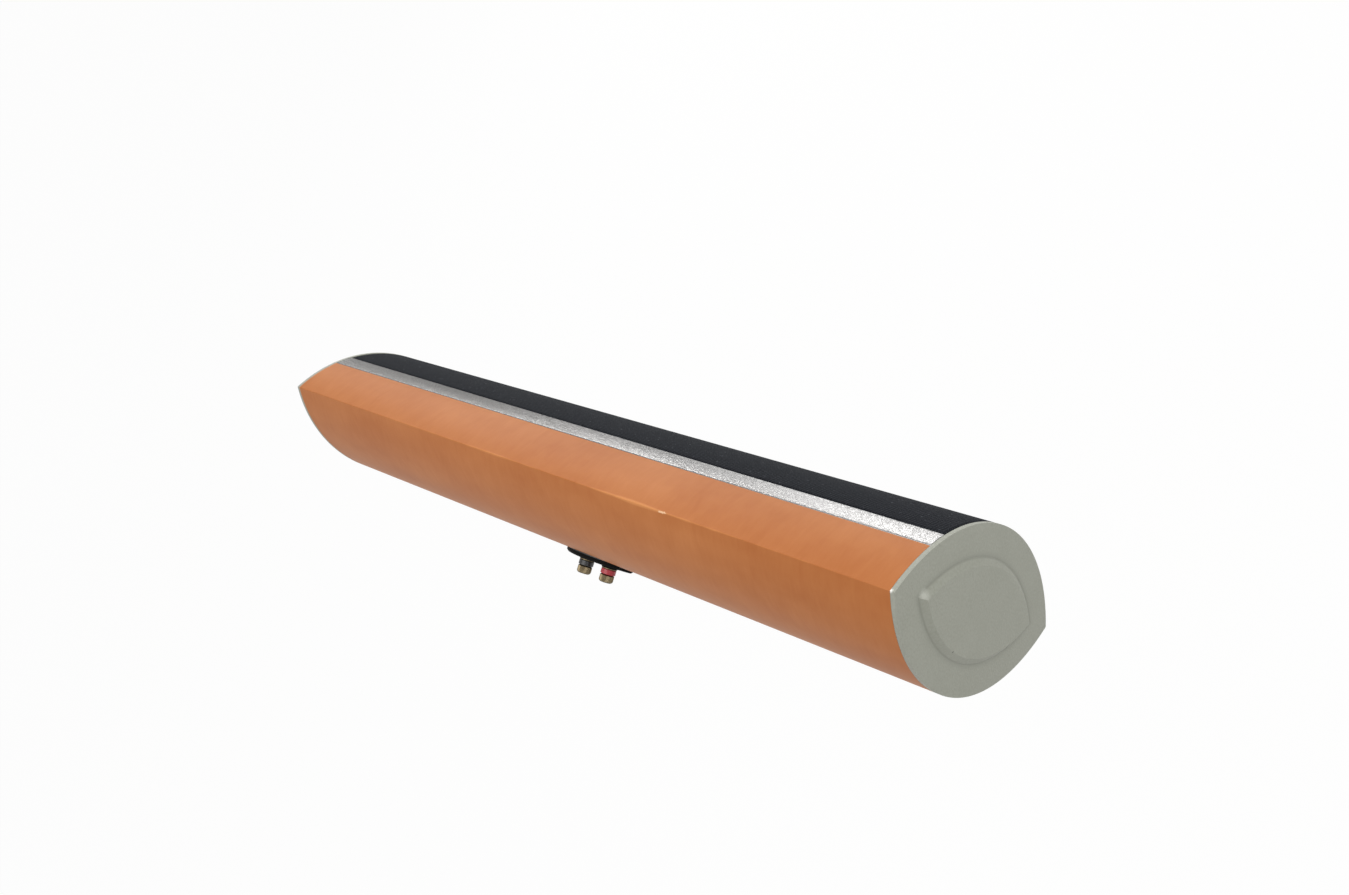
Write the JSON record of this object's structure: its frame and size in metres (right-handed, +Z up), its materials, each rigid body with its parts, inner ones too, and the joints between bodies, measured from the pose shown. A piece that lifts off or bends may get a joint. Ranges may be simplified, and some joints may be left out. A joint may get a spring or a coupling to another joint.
{
  "type": "passive soundbar speaker",
  "caption": "Long passive speaker bar with a lens-shaped section, cherry wood sides, silver strips, curved black cloth grille, grey moulded end caps and gold binding posts on the back.",
  "frame": {"origin": "on the crest line of the back, midway between the two threaded inserts of the wall bracket", "axes": "+X along the bar, +Y out of the back towards the wall, +Z up; the grille faces -Y"},
  "size_m": [0.48, 0.0951, 0.1554],
  "materials": {
    "cherry_veneer": "satin cherry veneer on board",
    "cap_plastic": "grey, finely grained",
    "silver_trim": "silver flake lacquer",
    "grille_cloth": "black knitted cloth",
    "grille_plastic": "moulded black",
    "black_board": "black painted fibreboard",
    "fibreboard": "bare fibreboard",
    "black_rubber": "matte",
    "basket_steel": "black stamped steel",
    "cone_paper": "black paper pulp",
    "spider_cloth": "resin treated cloth",
    "coil_copper": "enamelled copper",
    "zinc_steel": "zinc plated",
    "ferrite": "sintered ferrite",
    "black_steel": "black oxide",
    "tweeter_plastic": "moulded black",
    "dome_silk": "coated silk",
    "terminal_plastic": "moulded black",
    "gold_plate": "gold plated brass",
    "ring_red": "red",
    "ring_black": "black",
    "insert_brass": "turned brass",
    "circuit_board": "solder mask",
    "capacitor_film": "wrapped film",
    "resistor_cement": "cement block",
    "lead_jacket": "soft vinyl",
    "felt": "grey felt"
  },
  "bodies": {
    "cabinet": {"cabinet_shell": "cherry_veneer", "end_cap_left": "cap_plastic", "end_cap_right": "cap_plastic", "trim_strip_upper": "silver_trim", "trim_strip_lower": "silver_trim", "front_baffle": "black_board", "end_panel_left": "fibreboard", "end_panel_right": "fibreboard", "board_cleats": "fibreboard", "grille_sockets": "black_rubber", "terminal_gasket": "black_rubber", "woofer_gaskets": "black_rubber", "woofer_left_surround": "black_rubber", "woofer_right_surround": "black_rubber", "woofer_left_frame": "basket_steel", "woofer_right_frame": "basket_steel", "woofer_left_spider": "spider_cloth", "woofer_right_spider": "spider_cloth", "crossover_inductor": "coil_copper", "woofer_left_top_plate": "zinc_steel", "woofer_right_top_plate": "zinc_steel", "woofer_left_yoke": "zinc_steel", "woofer_right_yoke": "zinc_steel", "tweeter_top_plate": "zinc_steel", "tweeter_yoke": "zinc_steel", "terminal_screws": "zinc_steel", "board_screws": "zinc_steel", "solder_tags": "zinc_steel", "woofer_left_magnet": "ferrite", "woofer_right_magnet": "ferrite", "tweeter_magnet": "ferrite", "front_screws": "black_steel", "tweeter_faceplate": "tweeter_plastic", "terminal_plate": "terminal_plastic", "post_bushes": "terminal_plastic", "post_stud_red": "gold_plate", "post_stud_black": "gold_plate", "post_nuts": "gold_plate", "wall_inserts": "insert_brass", "crossover_board": "circuit_board", "crossover_capacitors": "capacitor_film", "crossover_resistor": "resistor_cement", "hookup_leads": "lead_jacket", "damping_mats": "felt"},
    "grille": {"grille_frame": "grille_plastic", "grille_cloth": "grille_cloth"},
    "woofer_left_cone": {"woofer_left_cone": "cone_paper", "woofer_left_dust_cap": "cone_paper", "woofer_left_voice_coil": "coil_copper"},
    "woofer_right_cone": {"woofer_right_cone": "cone_paper", "woofer_right_dust_cap": "cone_paper", "woofer_right_voice_coil": "coil_copper"},
    "tweeter_dome": {"tweeter_dome": "dome_silk", "tweeter_coil": "coil_copper"},
    "red_washer": {"post_washer_red": "gold_plate"},
    "red_knob": {"post_knob_red": "gold_plate", "post_ring_red": "ring_red"},
    "black_washer": {"post_washer_black": "gold_plate"},
    "black_knob": {"post_knob_black": "gold_plate", "post_ring_black": "ring_black"}
  },
  "joints": [
    {"name": "grille_pull", "type": "slide", "parent": "cabinet", "child": "grille", "axis": [0, -1, 0], "range_m": [0, 0.06]},
    {"name": "woofer_left_travel", "type": "slide", "parent": "cabinet", "child": "woofer_left_cone", "axis": [0, -1, 0], "range_m": [-0.0025, 0.0025], "stiffness_N_per_m": 900, "deforming": ["woofer_left_surround", "woofer_left_spider"]},
    {"name": "woofer_right_travel", "type": "slide", "parent": "cabinet", "child": "woofer_right_cone", "axis": [0, -1, 0], "range_m": [-0.0025, 0.0025], "stiffness_N_per_m": 900, "deforming": ["woofer_right_surround", "woofer_right_spider"]},
    {"name": "tweeter_travel", "type": "slide", "parent": "cabinet", "child": "tweeter_dome", "axis": [0, -1, 0], "range_m": [-0.0002, 0.0003], "stiffness_N_per_m": 1500},
    {"name": "red_post_lift", "type": "slide", "parent": "cabinet", "child": "red_washer", "axis": [0, 1, 0], "range_m": [0, 0.004]},
    {"name": "red_post_turn", "type": "hinge", "parent": "red_washer", "child": "red_knob", "pos_m": [-0.0095, 0, 0], "axis": [0, 1, 0], "range_deg": [0, 1440]},
    {"name": "black_post_lift", "type": "slide", "parent": "cabinet", "child": "black_washer", "axis": [0, 1, 0], "range_m": [0, 0.004]},
    {"name": "black_post_turn", "type": "hinge", "parent": "black_washer", "child": "black_knob", "pos_m": [0.0095, 0, 0], "axis": [0, 1, 0], "range_deg": [0, 1440]}
  ],
  "couplings": [
    {"joint": "red_post_turn", "follows": "red_post_lift", "rad_per_m": 6283.2},
    {"joint": "black_post_turn", "follows": "black_post_lift", "rad_per_m": 6283.2}
  ]
}
